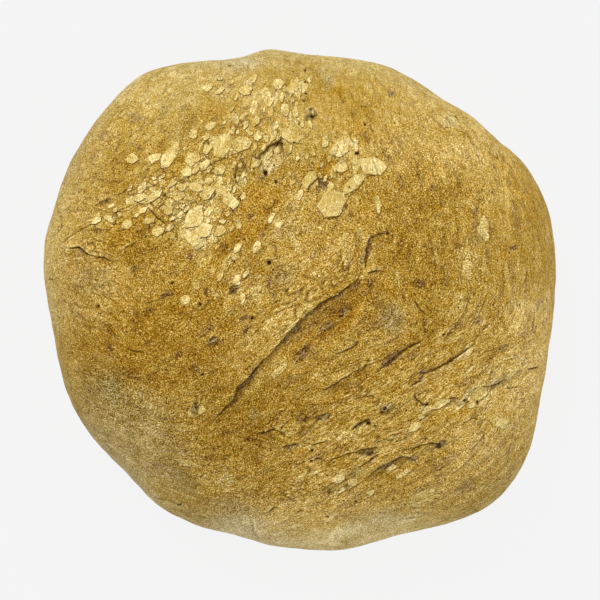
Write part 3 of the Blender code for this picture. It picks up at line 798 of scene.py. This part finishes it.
    def knead(self):
        """The slow and fine unevenness of a crust that swelled and dried."""
        self.height += 0.45 * lumps(self.points, 15.0, 71.0) + 0.25 * lumps(self.points, 6.0, 73.0)
        self.height += 0.08 * lumps(self.points, 3.2, 77.0)
        dimples = smooth_step(0.35, 0.75, lumps(self.points, 3.4, 83.0))
        self.height -= 0.3 * dimples * self.level
        self.mark("shadowed", 0.12 * dimples * self.seen)

    def bake(self):
        all_patches = {
            "drawn": DRAWN, "toasted": TOASTED, "stain_and_shade": STAINED, "pale": PALE, "floured": FLOURED,
            "greyed": GREYED, "flaky": MOSAICS, "smooth": SMOOTH,
        }
        for mask, patches in all_patches.items():
            for patch in patches:
                self.mark(mask, self.patch(*patch))
        for patch in LIGHTER:
            self.lightness += self.patch(*patch)
        for mask, sides in RIMS.items():
            for side in sides:
                self.mark_rim(mask, *side)
        self.mark("drawn", 0.25 * self.seen)
        self.mark("smooth", 0.6 * self.rim)
        self.knead()
        self.dough_lines()
        self.crater(*CRATER)
        for places, make in (
            (BLISTERS, self.blister), (FOLDS.values(), self.fold), (CRACKS, self.crack),
            (RIDGES, self.ridge), (PINHOLES, self.pinhole),
        ):
            for place in places:
                make(*place)


# ---------------------------------------------------------------- the crust's mesh
def gaps_to_torn():
    """How far each place of a 1 mm grid is from the nearest fold, crack, ridge or hole, in mm."""
    side = np.arange(-GRID_REACH, GRID_REACH + 1.0)
    u, v = (places.ravel() for places in np.meshgrid(side, side, indexing="ij"))
    nearest = np.full(len(u), 1e9)
    for line in (*FOLDS.values(), *CRACKS, *RIDGES):
        nearest = np.minimum(nearest, np.abs(beside(line[0], u, v)[1]))
    for hole_u, hole_v, radius in PINHOLES:
        nearest = np.minimum(nearest, np.maximum(np.hypot(u - hole_u, v - hole_v) - radius, 0.0))
    for places, farther in ((BLISTERS + (CRATER,), 0.0), (STAINED, STAIN_COARSER)):
        for place in places:
            reach = oval_reach(u, v, place[:2], *place[2:5])
            nearest = np.minimum(nearest, np.maximum(reach - 1.0, 0.0) * place[3] + farther)
    return nearest.reshape(len(side), len(side))


def edge_goal(points, normals, torn):
    """How long edges may be in mm: short beside torn places, long on the flanks and sole."""
    u, v = as_seen(points)
    row, column = (np.clip(np.rint(x) + GRID_REACH, 0, 2 * GRID_REACH).astype(int) for x in (u, v))
    gap = np.maximum(torn[row, column] - FINE_WITHIN, 0.0)
    top = np.minimum(FINE_EDGE + EDGE_GROWTH * gap, TOP_EDGE)
    goal = FLANK_EDGE + (top - FLANK_EDGE) * smooth_step(0.0, 0.4, normals[:, 2])
    return goal + (SOLE_EDGE - FLANK_EDGE) * smooth_step(0.6, 0.95, -normals[:, 2])


def split_edges(points, normals, faces, goal):
    """Halves the edges that are over their goal, on the curve that the normals give."""
    pairs = np.sort(np.stack((faces, np.roll(faces, -1, axis=1)), axis=2).reshape(-1, 2), axis=1)
    edges, edge_of = np.unique(pairs, axis=0, return_inverse=True)
    edge_of = edge_of.reshape(-1, 3)
    first, second = edges[:, 0], edges[:, 1]
    span = points[second] - points[first]
    lengths = np.linalg.norm(span, axis=1)
    split = lengths > np.minimum(goal[first], goal[second]) * MM
    longest = edge_of[np.arange(len(faces)), np.argmax(lengths[edge_of], axis=1)]
    while True:
        wanted = split[edge_of].any(axis=1) & ~split[longest]
        if not wanted.any():
            break
        split[longest[wanted]] = True
    if not split.any():
        return points, normals, faces, False
    first, second, span = first[split], second[split], span[split]
    lean = np.sum(span * normals[first], axis=1)[:, None] * normals[first]
    lean -= np.sum(span * normals[second], axis=1)[:, None] * normals[second]
    middles = (points[first] + points[second]) / 2.0 - lean / 8.0
    leaning = normals[first] + normals[second]
    leaning /= np.linalg.norm(leaning, axis=1)[:, None]
    middle_of = np.full(len(edges), -1)
    middle_of[split] = len(points) + np.arange(len(middles))
    faces = cut_faces(faces, middle_of[edge_of], np.argmax(lengths[edge_of], axis=1))
    return np.vstack((points, middles)), np.vstack((normals, leaning)), faces, True


def cut_faces(faces, middles, longest):
    """Cuts triangles at the middles of their edges, from the longest edge's middle outwards."""
    turn = (np.arange(3)[None, :] + longest[:, None]) % 3
    faces = np.take_along_axis(faces, turn, axis=1)
    middles = np.take_along_axis(middles, turn, axis=1)
    a, b, c = faces.T
    ab, bc, ca = middles.T
    whole = ab < 0
    made = [faces[whole]]
    for corner, side, order in ((a, ca, (0, 1, 2)), (b, bc, (1, 0, 2))):
        plain = ~whole & (side < 0)
        cut = ~whole & (side >= 0)
        for kept, three in ((plain, (corner, ab, c)), (cut, (corner, ab, side)), (cut, (side, ab, c))):
            made.append(np.column_stack(three)[kept][:, order])
    return np.vstack(made)


def plain_loaf():
    """The solid loaf's own surface: points, normals and triangles."""
    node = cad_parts[LOAF]
    copy = bpy.data.objects.new("plain_loaf", node.data.copy())
    bpy.context.scene.collection.objects.link(copy)
    weld = copy.modifiers.new("weld", "WELD")
    weld.merge_threshold = WELD_REACH
    mesh = copy.evaluated_get(bpy.context.evaluated_depsgraph_get()).to_mesh()
    mesh.calc_loop_triangles()
    points = read(mesh.vertices, "co", 3)
    normals = read(mesh.vertex_normals, "vector", 3)
    faces = read(mesh.loop_triangles, "vertices", 3).astype(int)
    bpy.data.objects.remove(copy, do_unlink=True)
    return points, normals, faces


def read(items, name, width):
    values = np.zeros(len(items) * width)
    items.foreach_get(name, values)
    return values.reshape(-1, width)


def write_mask(mesh, name, values):
    kind, field = ("FLOAT", "value") if values.ndim == 1 else ("FLOAT_VECTOR", "vector")
    attribute = mesh.attributes.new(name, kind, "POINT")
    attribute.data.foreach_set(field, values.astype(np.float32).ravel())


def add_piece(name, points, faces, finish, masks):
    """A finished piece that stands for the loaf's crust, with the masks that its finish reads."""
    mesh = bpy.data.meshes.new(name)
    mesh.from_pydata(points, [], faces)
    mesh.shade_smooth()
    mesh.materials.append(finish.material)
    piece = bpy.data.objects.new(name, mesh)
    bpy.context.scene.collection.objects.link(piece)
    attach(piece, "root")
    for mask, values in masks.items():
        write_mask(mesh, mask, values)
    return piece


def make_crust(finish, flow):
    points, normals, faces = plain_loaf()
    torn = gaps_to_torn()
    more = True
    while more:
        goal = edge_goal(points, normals, torn)
        points, normals, faces, more = split_edges(points, normals, faces, goal)
    assert len(faces) < TRIANGLE_LIMIT, f"the crust has {len(faces)} triangles"
    crust = Crust(points, normals, flow)
    crust.bake()
    sole = smooth_step(0.75, 0.98, -normals[:, 2])
    risen = points + normals * (crust.height * (1.0 - SOLE_CALM * sole) * MM)[:, None]
    risen[:, 2] = np.maximum(risen[:, 2], cad_low.z)
    masks = {
        **crust.masks,
        "underside": smooth_step(0.15, 0.9, -normals[:, 2]),
        "dough_lines": np.column_stack((crust.line, crust.along, crust.points[:, 2])),
        "lightness": crust.lightness,
        "torn": crust.torn.drawn(),
        "ridges": crust.ridges.drawn(),
    }
    piece = add_piece("baked_crust", risen, faces, finish, masks)
    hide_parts(LOAF)
    return piece


# ---------------------------------------------------------------- the dry flakes
# A flake's rings: share of the way to the rim, height as a share of the lift, mm above that, and
# how far the ring is pushed away from the light and painted dark as the flake's shadow
FLAKE_RINGS = (
    (0.45, 0.72, 0.16, 0.0),
    (0.80, 0.80, 0.17, 0.0),
    (0.94, 0.94, 0.17, 0.0),
    (1.00, 0.98, 0.08, 0.0),
    (1.00, 0.90, -0.08, 0.2),
    (0.99, 0.00, 0.10, 1.0),
    (0.90, 0.00, -0.90, 1.0),
)
SHADE_LENGTH = 0.5  # mm that a flake's painted shadow reaches over the crust
FLAKE_LEAN = 0.35  # how far a flake's lift leans from upright towards straight out of the crust
RIM_STEP = 0.9  # mm along a flake's rim


class Flakes:
    """Thin dry plates of crust, gathered into one piece."""

    def __init__(self, crust):
        self.surface = BVHTree.FromObject(crust, bpy.context.evaluated_depsgraph_get())
        self.points = []
        self.faces = []
        self.tones = []
        self.shades = []

    def on_crust(self, u, v, height):
        """The point over the crust where the eye above sees (u, v), at a height in mm."""
        eye = Vector((0.0, 0.0, EYE_HEIGHT))
        towards = Vector((u * MM, v * MM, WAIST)) - eye
        place, normal, _, _ = self.surface.ray_cast(eye, towards.normalized())
        if place is None:
            return None
        return place + Vector((0.0, 0.0, 1.0)).lerp(normal, FLAKE_LEAN).normalized() * (height * MM)

    def add(self, u, v, rim, lift, tone):
        """A flake with its middle at (u, v) and its rim at these offsets from there."""
        count = len(rim)
        free_side = math.radians(rng.uniform(-80.0, -20.0))
        # how dark the flake's painted shadow is
        shade = rng.uniform(0.2, 0.75)
        made = [self.on_crust(u, v, 0.72 * lift + 0.14)]
        shades = [0.0]
        for share, lifted, extra, pushed in FLAKE_RINGS:
            away_u = u - pushed * SHADE_LENGTH * math.cos(LIGHT_BEARING)
            away_v = v - pushed * SHADE_LENGTH * math.sin(LIGHT_BEARING)
            for du, dv in rim:
                curl = 0.62 + 0.38 * math.cos(math.atan2(dv, du) - free_side)
                height = lift * lifted * curl + extra
                made.append(self.on_crust(away_u + share * du, away_v + share * dv, height))
                shades.append(shade * (pushed > 0.0))
        if None in made:
            return
        start = len(self.points)
        self.points += made
        self.tones += [tone] * len(made)
        self.shades += shades
        for k in range(count):
            following = (k + 1) % count
            self.faces.append((start, start + 1 + k, start + 1 + following))
            for ring in range(len(FLAKE_RINGS) - 1):
                inner = start + 1 + ring * count
                outer = inner + count
                self.faces.append((inner + k, outer + k, outer + following, inner + following))
        self.faces.append(tuple(reversed(range(len(self.points) - count, len(self.points)))))


def broken_rim(half_length, half_width, bearing, ragged):
    """The outline of a flake that broke off: corners round an oval, with chipped edges between them."""
    corners = int(rng.integers(3, 6) + 24 * ragged)
    angles = 2.0 * math.pi * (np.arange(corners) + rng.uniform(-0.3, 0.3, corners)) / corners
    reach = 1.08 + (0.1 + ragged) * rng.uniform(-1.0, 1.0, corners)
    ends = np.column_stack((half_length * reach * np.cos(angles), half_width * reach * np.sin(angles)))
    rim = []
    for start, end in zip(ends, np.roll(ends, -1, axis=0)):
        steps = max(2, int(np.linalg.norm(end - start) / RIM_STEP))
        for step in range(steps):
            chip = rng.uniform(-1.0, 1.0, 2) * (0.12 + 0.8 * ragged) * (step > 0)
            rim.append(start + (end - start) * (step / steps) + chip)
    cosine, sine = math.cos(bearing), math.sin(bearing)
    return [(along * cosine - across * sine, along * sine + across * cosine) for along, across in rim]


def with_small_flakes(flow):
    """The flakes of the table, and smaller ones strewn over the mosaics along the dough's lines."""
    flakes = list(FLAKES)
    for u, v, half_length, half_width, bearing, share in MOSAICS:
        wanted = int(math.pi * half_length * half_width * share / SMALL_FLAKE_ROOM)
        for _ in range(3 * wanted):
            reach, turn = math.sqrt(rng.uniform()), rng.uniform(0.0, 2.0 * math.pi)
            along, across = reach * half_length * math.cos(turn), reach * half_width * math.sin(turn)
            du, dv = turned(along, across, -math.radians(bearing))
            length = rng.uniform(1.2, 3.4)
            gaps = [math.hypot(u + du - x[0], v + dv - x[1]) - 0.8 * x[2] for x in flakes]
            if wanted == 0 or min(gaps) < 0.8 * length + SMALL_FLAKE_GAP:
                continue
            east, north = flow.heading(np.array([u + du]), np.array([v + dv]))
            line = math.degrees(math.atan2(north[0], east[0])) + rng.uniform(-15.0, 15.0)
            width = length * rng.uniform(0.4, 0.75)
            flakes.append((u + du, v + dv, length, width, line, rng.uniform(0.3, 0.6), 0.12))
            wanted -= 1
    return flakes


def make_flakes(crust, finish, flow):
    flakes = Flakes(crust)
    for u, v, half_length, half_width, bearing, lift, ragged in with_small_flakes(flow):
        rim = broken_rim(half_length, half_width, math.radians(bearing), ragged)
        flakes.add(u, v, rim, 0.75 * lift, rng.uniform(0.45, 1.0))
    points = np.array(flakes.points)
    along, line = flow.at(*as_seen(points))
    tones = np.array(flakes.tones)
    masks = {
        "dough_lines": np.column_stack((line, along, points[:, 2] / MM)),
        "drawn": np.full(len(points), 0.4),
        "smooth": np.full(len(points), 0.7),
        "pale": 0.75 + 0.35 * tones,
        "lightness": 0.9 * tones - 0.1,
        "shadowed": np.array(flakes.shades),
    }
    add_piece("crust_flakes", flakes.points, flakes.faces, finish, masks)


# ---------------------------------------------------------------- the finishes
GOLD = paint(184, 147, 62)
OCHRE = paint(188, 143, 44)
TOAST = paint(179, 133, 32)
STAIN_AND_SHADE = paint(122, 89, 38)
GLEAM = paint(212, 182, 88)
PALE_CRUST = paint(220, 193, 114)
FLOUR_DUST = paint(210, 198, 158)
GREY_SKIN = paint(152, 133, 88)
# the brown of shade painted into cracks, holes and gaps
CREVICE_SHADE = paint(60, 38, 8)
SOLE_BROWN = paint(158, 122, 66)
SCREEN_GAMMA = 2.2

# How large the crust's grain, marks and plates are, in mm, and how deep its fine relief is, in metres
GRIT, COMBED_GRIT = 0.52, 0.5
CRUMB, COMBED_CRUMB = 1.3, 0.75
STREAK = 2.6
FLECK = 3.0
HUE_SPOT = 3.6
PLATE = 4.2
MOTTLE = 6.0
LAYER = 7.0
PRICK_GAP = 9.0
CLOUD = 30.0
RELIEF_DEPTH = 0.0006


def mixed(share, first, second):
    """A number between two others."""
    return first + (second - first) * share


def crust_finish():
    """Baked crust: a gritty grain that follows the drawn-out dough, seams, plates and browning."""
    finish = Finish("baked_crust")
    metres = finish.add("ShaderNodeTexCoord", {}, {}, "Object")
    places = finish.stretched(metres, (1.0 / MM, 1.0 / MM, 1.0 / MM))
    lines = finish.stretched(finish.places("dough_lines"), (1.0, 0.22, 0.6))
    drawn = finish.mask("drawn")
    bent = finish.bent(places, 4.0, 2.0)
    combed = finish.bent(lines, 4.0, 0.9)

    grit = mixed(drawn * 0.35, finish.grain(bent, GRIT, 0.0), finish.grain(combed, COMBED_GRIT, 0.0))
    crumbs = mixed(drawn * 0.6, finish.grain(bent, CRUMB, 1.0), finish.grain(combed, COMBED_CRUMB, 1.0))
    streaks = finish.grain(combed, STREAK)
    mottle = finish.grain(bent, MOTTLE, 3.0, 0.65)
    cloud = finish.grain(places, CLOUD, 2.0, 0.5)

    # Seams, where one layer of the drawn-out dough ends on the next
    layers = finish.grain(combed, LAYER, 1.0, 0.4)
    broken = finish.step(cloud + mottle, 0.96, 1.1) * (0.3 + 0.7 * drawn)
    seam = (1.0 - finish.step(abs(layers - 0.5), 0.004, 0.02)) * broken
    seam = seam + (1.0 - finish.step(abs(layers - 0.59), 0.004, 0.02)) * broken
    ledge = (finish.step(layers, 0.486, 0.5) + finish.step(layers, 0.576, 0.59)) * broken

    # Thin wrinkles along the dough's lines, in places, painted dark as shade in their creases
    wrinkles = (1.0 - finish.step(abs(streaks - 0.5), 0.0, 0.03)) * finish.step(mottle, 0.36, 0.54)

    # Plates of thin dry crust that lie beside one another
    flaky = finish.mask("flaky")
    beds = finish.bent(finish.stretched(finish.places("dough_lines"), (1.0, 0.58, 0.6)), 3.0, 2.2)
    plate_tone = finish.cells(beds, PLATE, "F1", "Color")
    gap = finish.cells(beds, PLATE, "DISTANCE_TO_EDGE", "Distance")
    left = finish.step(plate_tone + flaky, 0.88, 0.93)
    within = finish.step(gap, 0.02, 0.11)
    plate = left * within

    # What colour the crust is, as a screen shows it: one tone laid over the next
    hue = finish.step(finish.grain(bent, HUE_SPOT), 0.4, 0.64)
    fleck = finish.grain(combed, FLECK, 1.0, 0.5)
    blotches = 0.35 + 0.85 * finish.step(mottle, 0.38, 0.56)
    dust = finish.step(grit, 0.3, 0.7)
    ridge, _ = finish.line("ridges", (crumbs - 0.5) * 0.8)
    colour = GOLD
    for share, tone in (
        (hue * 0.5, OCHRE),
        (finish.mask("toasted") * 1.15, TOAST),
        (finish.step(fleck, 0.6, 0.7) * 0.45, GLEAM),
        # the brown of stains, and of shade painted into the folds' wide gaps
        (finish.mask("stain_and_shade") * 1.3 * blotches + finish.step(fleck, 0.4, 0.3) * 0.4, STAIN_AND_SHADE),
        # pale crust, with painted highlights on fold lips and on blisters' lit sides, and partly painted
        # light on the rim
        (finish.mask("pale") * (0.5 + 0.4 * blotches), PALE_CRUST),
        (plate * (0.25 + 0.6 * plate_tone), PALE_CRUST),
        (finish.mask("greyed") * 0.85, GREY_SKIN),
        (finish.mask("floured") * (0.4 + 0.5 * dust), FLOUR_DUST),
        (finish.mask("underside") * 0.85, SOLE_BROWN),
        (ridge * 0.65, GLEAM),
    ):
        colour = finish.between(share, colour, tone)

    # How much lighter or darker each place is
    coarse = 1.05 + 0.35 * drawn - finish.mask("smooth") * 0.75
    shade = ((grit - 0.5) * 0.95 + (crumbs - 0.5) * 0.2) * coarse
    shade = shade + (streaks - 0.5) * (0.12 + 0.1 * drawn) + (mottle - 0.5) * 0.33 + plate * 0.04
    colour = finish.lit(colour, shade + (cloud - 0.5) * 0.2 + finish.mask("lightness") * 0.11)

    # Painted shade, darkened towards one brown: the torn lines of folds, cracks and pinholes, darkest
    # under the lip on their left, and the pricks, seams, wrinkles, gaps between plates and shadowed places
    torn, gap_left = finish.line("torn", (crumbs - 0.5) * 1.2)
    prick = 1.0 - finish.step(finish.cells(places, PRICK_GAP, "F1", "Distance"), 0.035, 0.07)
    edges = left * (1.0 - within) * (0.1 + 0.9 * finish.step(mottle, 0.4, 0.6))
    dark = finish.mask("shadowed") * (0.6 + 0.8 * grit) + prick * 0.6 + seam * 0.4 + edges * 0.35
    dark = dark + torn * (0.3 + 0.4 * finish.step(gap_left, -0.5, 0.4)) + wrinkles * 0.34
    colour = finish.between(dark, colour, CREVICE_SHADE)
    colour = finish.add("ShaderNodeGamma", {}, {"Color": colour, "Gamma": SCREEN_GAMMA})

    relief = grit * 0.08 + crumbs * 0.15 + streaks * 0.15 + mottle * 0.5
    relief = relief + ledge * 0.4 + plate * (0.3 + 0.3 * plate_tone) - prick * 1.2 - seam * 0.4
    sockets = {"Height": relief, "Strength": 0.85, "Distance": RELIEF_DEPTH}
    bump = finish.add("ShaderNodeBump", {}, sockets, "Normal")
    sockets = {
        "Base Color": colour,
        "Roughness": 0.82 + 0.12 * finish.mask("floured"),
        "Specular IOR Level": 0.12,
        "Normal": bump,
    }
    shader = finish.add("ShaderNodeBsdfPrincipled", {}, sockets, "BSDF")
    finish.add("ShaderNodeOutputMaterial", {}, {"Surface": shader}, None)
    return finish


# ---------------------------------------------------------------- the studio's floor and light
FLOOR_SIZE = 30.0
FLOOR_GLOW = 0.871
FLOOR_ALBEDO = 0.04
FLOOR_GAP = 0.0002  # how far the floor is below the sole, in metres
BACKDROP = 0.905
SKY_LIGHT = 0.70
WINDOW_LIGHT = 1.25
WINDOW_SOFTNESS = math.radians(18)
WINDOW_HEIGHT = math.radians(50)


def make_floor():
    mesh = bpy.data.meshes.new("floor")
    half = FLOOR_SIZE / 2.0
    corners = ((-half, -half), (half, -half), (half, half), (-half, half))
    mesh.from_pydata([(x, y, cad_low.z - FLOOR_GAP) for x, y in corners], [], [(0, 1, 2, 3)])
    finish = Finish("pale_floor")
    sockets = {
        "Base Color": (FLOOR_ALBEDO, FLOOR_ALBEDO, FLOOR_ALBEDO, 1.0),
        "Roughness": 1.0,
        "Specular IOR Level": 0.0,
        "Emission Color": (1.0, 1.0, 1.0, 1.0),
        "Emission Strength": FLOOR_GLOW,
    }
    shader = finish.add("ShaderNodeBsdfPrincipled", {}, sockets, "BSDF")
    finish.add("ShaderNodeOutputMaterial", {}, {"Surface": shader}, None)
    mesh.materials.append(finish.material)
    floor = bpy.data.objects.new("floor", mesh)
    bpy.context.scene.collection.objects.link(floor)


def make_light():
    scene = bpy.context.scene
    scene.view_settings.view_transform = "Standard"
    world = bpy.data.worlds.new("studio")
    world.use_nodes = True
    scene.world = world
    nodes, links = world.node_tree.nodes, world.node_tree.links
    background = nodes["Background"]
    background.inputs["Color"].default_value = (1.0, 1.0, 1.0, 1.0)
    path = nodes.new("ShaderNodeLightPath")
    seen = nodes.new("ShaderNodeMapRange")
    seen.inputs["To Min"].default_value = SKY_LIGHT
    seen.inputs["To Max"].default_value = BACKDROP
    links.new(path.outputs["Is Camera Ray"], seen.inputs["Value"])
    links.new(seen.outputs["Result"], background.inputs["Strength"])

    window = bpy.data.lights.new("window_light", "SUN")
    window.energy = WINDOW_LIGHT
    window.angle = WINDOW_SOFTNESS
    lamp = bpy.data.objects.new("window_light", window)
    towards = Vector((
        math.cos(LIGHT_BEARING) * math.cos(WINDOW_HEIGHT),
        math.sin(LIGHT_BEARING) * math.cos(WINDOW_HEIGHT),
        math.sin(WINDOW_HEIGHT),
    ))
    lamp.rotation_mode = "QUATERNION"
    lamp.rotation_quaternion = towards.to_track_quat("Z", "Y")
    scene.collection.objects.link(lamp)


make_eye()
drawn_dough = Flow()
baked = crust_finish()
crust = make_crust(baked, drawn_dough)
make_flakes(crust, baked, drawn_dough)
make_floor()
make_light()
